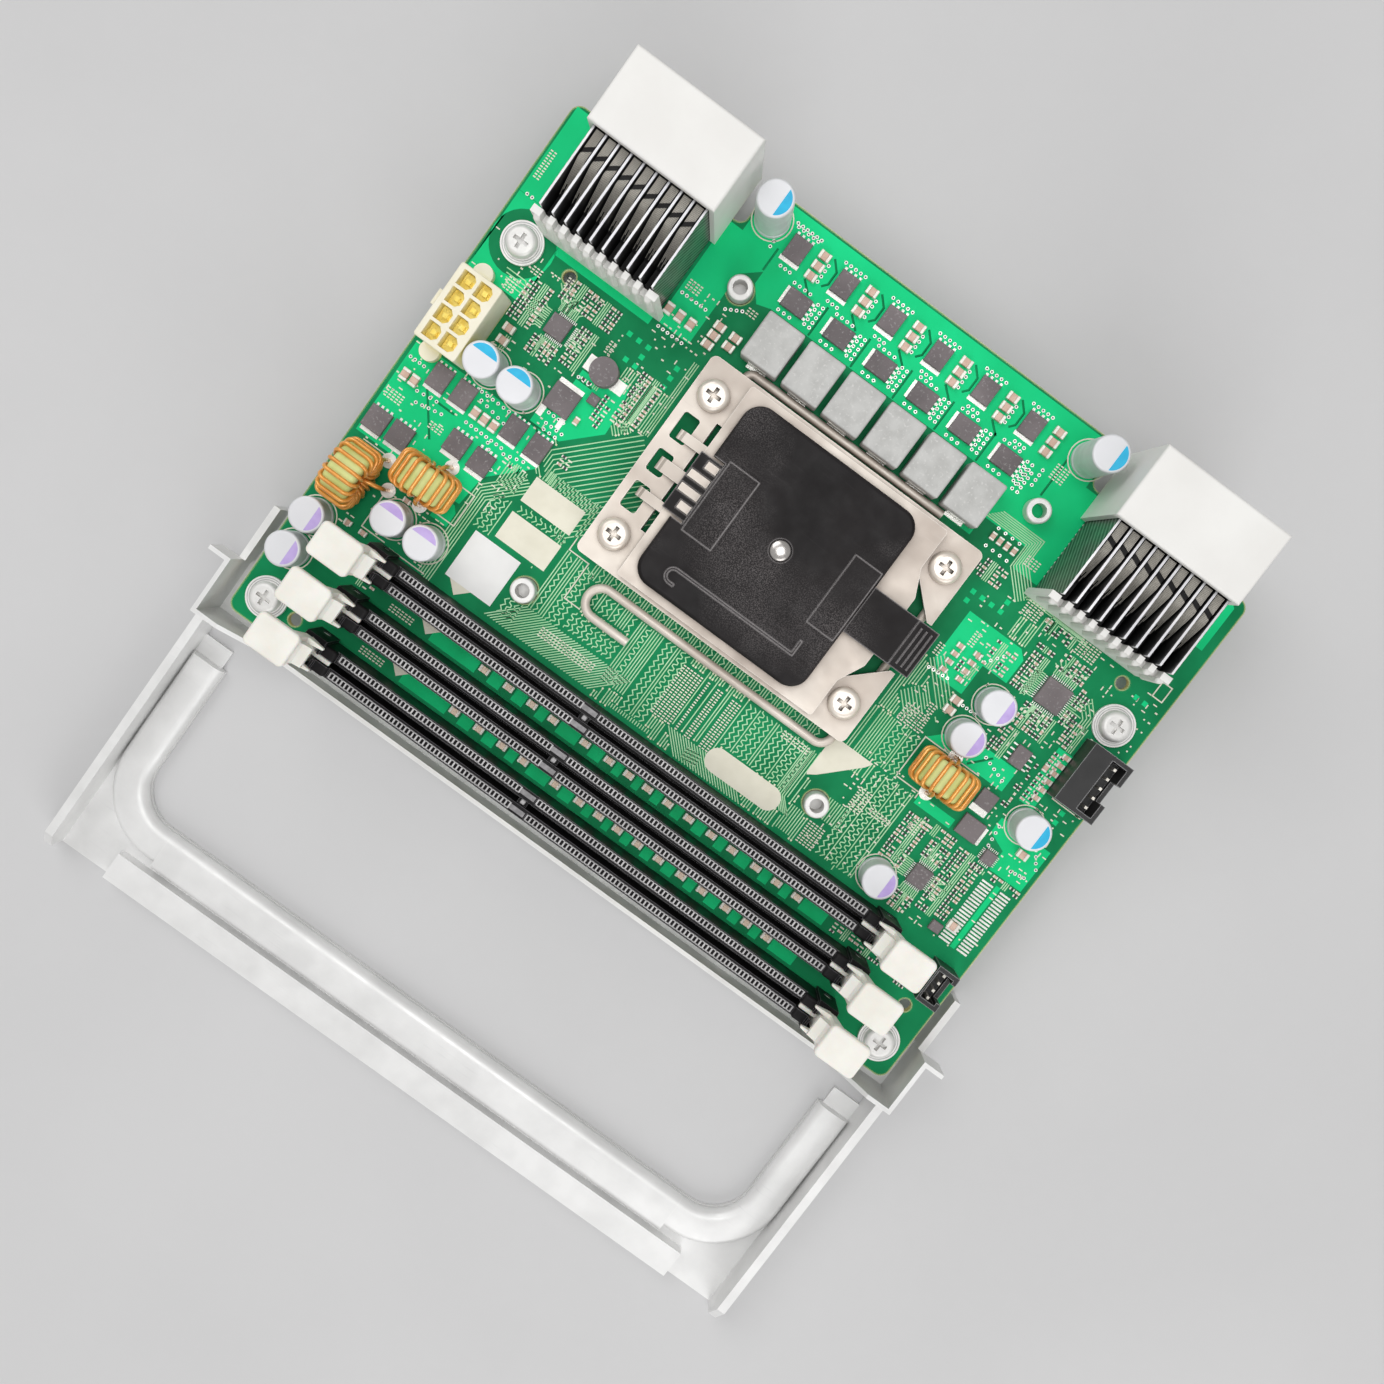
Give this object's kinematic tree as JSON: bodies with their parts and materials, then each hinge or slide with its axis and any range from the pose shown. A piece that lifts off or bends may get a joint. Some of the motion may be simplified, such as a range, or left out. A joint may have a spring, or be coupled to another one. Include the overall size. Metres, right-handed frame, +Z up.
{
  "type": "memory riser board",
  "caption": "Riser board for a rack computer: green circuit board with a processor socket, memory slots, backplane connectors and power stage on a folded steel carrier with a pull handle.",
  "frame": {"origin": "middle of the bounding box on the carrier's underside", "axes": "+X along the memory slots, +Y from the handle to the backplane connectors, +Z up out of the board"},
  "size_m": [0.2, 0.2144, 0.039],
  "materials": {
    "galvanised_sheet": "satin zinc coated sheet",
    "plated_steel": "bright zinc plated",
    "board_laminate": "green solder mask over glass laminate",
    "socket_plastic": "moulded black",
    "nickelled_steel": "nickel plated pressed steel",
    "cap_plastic": "moulded dark grey, fine grain",
    "slot_plastic": "moulded black",
    "latch_plastic": "moulded white",
    "inlet_plastic": "moulded natural",
    "gilt_contact": "gold flashed",
    "shroud_plastic": "moulded white",
    "shield_steel": "tinned spring sheet",
    "wafer_plastic": "moulded black",
    "header_plastic": "moulded black",
    "tinned_contact": "tinned",
    "inductor_body": "pressed powder, fine speckle",
    "choke_core": "painted powder ring",
    "enamelled_wire": "clear enamel over copper",
    "capacitor_can": "drawn can",
    "package_plastic": "moulded epoxy"
  },
  "bodies": {
    "riser": {"carrier": "galvanised_sheet", "board_standoffs": "plated_steel", "board_screws": "plated_steel", "socket_backplate": "plated_steel", "heatsink_posts": "plated_steel", "socket_screws": "plated_steel", "main_board": "board_laminate", "cpu_socket": "socket_plastic", "socket_frame": "nickelled_steel", "memory_slot_1": "slot_plastic", "memory_slot_2": "slot_plastic", "memory_slot_3": "slot_plastic", "power_connector": "inlet_plastic", "power_pins": "gilt_contact", "left_backplane_shroud": "shroud_plastic", "left_backplane_organiser": "shroud_plastic", "right_backplane_shroud": "shroud_plastic", "right_backplane_organiser": "shroud_plastic", "left_backplane_shields": "shield_steel", "right_backplane_shields": "shield_steel", "left_backplane_wafers": "wafer_plastic", "right_backplane_wafers": "wafer_plastic", "fan_headers": "header_plastic", "fan_header_pins": "tinned_contact", "phase_inductor_1": "inductor_body", "phase_inductor_2": "inductor_body", "phase_inductor_3": "inductor_body", "phase_inductor_4": "inductor_body", "phase_inductor_5": "inductor_body", "phase_inductor_6": "inductor_body", "choke_1_core": "choke_core", "choke_2_core": "choke_core", "choke_3_core": "choke_core", "choke_1_winding": "enamelled_wire", "choke_2_winding": "enamelled_wire", "choke_3_winding": "enamelled_wire", "capacitor_1": "capacitor_can", "capacitor_2": "capacitor_can", "capacitor_3": "capacitor_can", "capacitor_4": "capacitor_can", "capacitor_5": "capacitor_can", "capacitor_6": "capacitor_can", "capacitor_7": "capacitor_can", "capacitor_8": "capacitor_can", "capacitor_9": "capacitor_can", "capacitor_10": "capacitor_can", "capacitor_11": "capacitor_can", "capacitor_12": "capacitor_can", "power_transistors": "package_plastic", "logic_chips": "package_plastic"},
    "loading_plate": {"load_plate": "nickelled_steel", "socket_cap": "cap_plastic"},
    "near_lever": {"lever_near": "nickelled_steel"},
    "far_lever": {"lever_far": "nickelled_steel"},
    "latch_1_left": {"slot_1_latch_left": "latch_plastic"},
    "latch_1_right": {"slot_1_latch_right": "latch_plastic"},
    "latch_2_left": {"slot_2_latch_left": "latch_plastic"},
    "latch_2_right": {"slot_2_latch_right": "latch_plastic"},
    "latch_3_left": {"slot_3_latch_left": "latch_plastic"},
    "latch_3_right": {"slot_3_latch_right": "latch_plastic"}
  },
  "joints": [
    {"name": "loading_plate_hinge", "type": "hinge", "parent": "riser", "child": "loading_plate", "pos_m": [-0.0309, 0.0453, 0.01475], "axis": [0, -1, 0], "range_deg": [0, 95]},
    {"name": "near_lever_hinge", "type": "hinge", "parent": "riser", "child": "near_lever", "pos_m": [0.0346, 0.0453, 0.0125], "axis": [0, 1, 0], "range_deg": [0, 135]},
    {"name": "far_lever_hinge", "type": "hinge", "parent": "riser", "child": "far_lever", "pos_m": [-0.0272, 0.0453, 0.0125], "axis": [0, -1, 0], "range_deg": [0, 110]},
    {"name": "latch_1_left_hinge", "type": "hinge", "parent": "riser", "child": "latch_1_left", "pos_m": [-0.0686, -0.0088, 0.014], "axis": [0, -1, 0], "range_deg": [0, 32]},
    {"name": "latch_1_right_hinge", "type": "hinge", "parent": "riser", "child": "latch_1_right", "pos_m": [0.0686, -0.0088, 0.014], "axis": [0, 1, 0], "range_deg": [0, 32]},
    {"name": "latch_2_left_hinge", "type": "hinge", "parent": "riser", "child": "latch_2_left", "pos_m": [-0.0686, -0.0203, 0.014], "axis": [0, -1, 0], "range_deg": [0, 32]},
    {"name": "latch_2_right_hinge", "type": "hinge", "parent": "riser", "child": "latch_2_right", "pos_m": [0.0686, -0.0203, 0.014], "axis": [0, 1, 0], "range_deg": [0, 32]},
    {"name": "latch_3_left_hinge", "type": "hinge", "parent": "riser", "child": "latch_3_left", "pos_m": [-0.0686, -0.0318, 0.014], "axis": [0, -1, 0], "range_deg": [0, 32]},
    {"name": "latch_3_right_hinge", "type": "hinge", "parent": "riser", "child": "latch_3_right", "pos_m": [0.0686, -0.0318, 0.014], "axis": [0, 1, 0], "range_deg": [0, 32]}
  ]
}
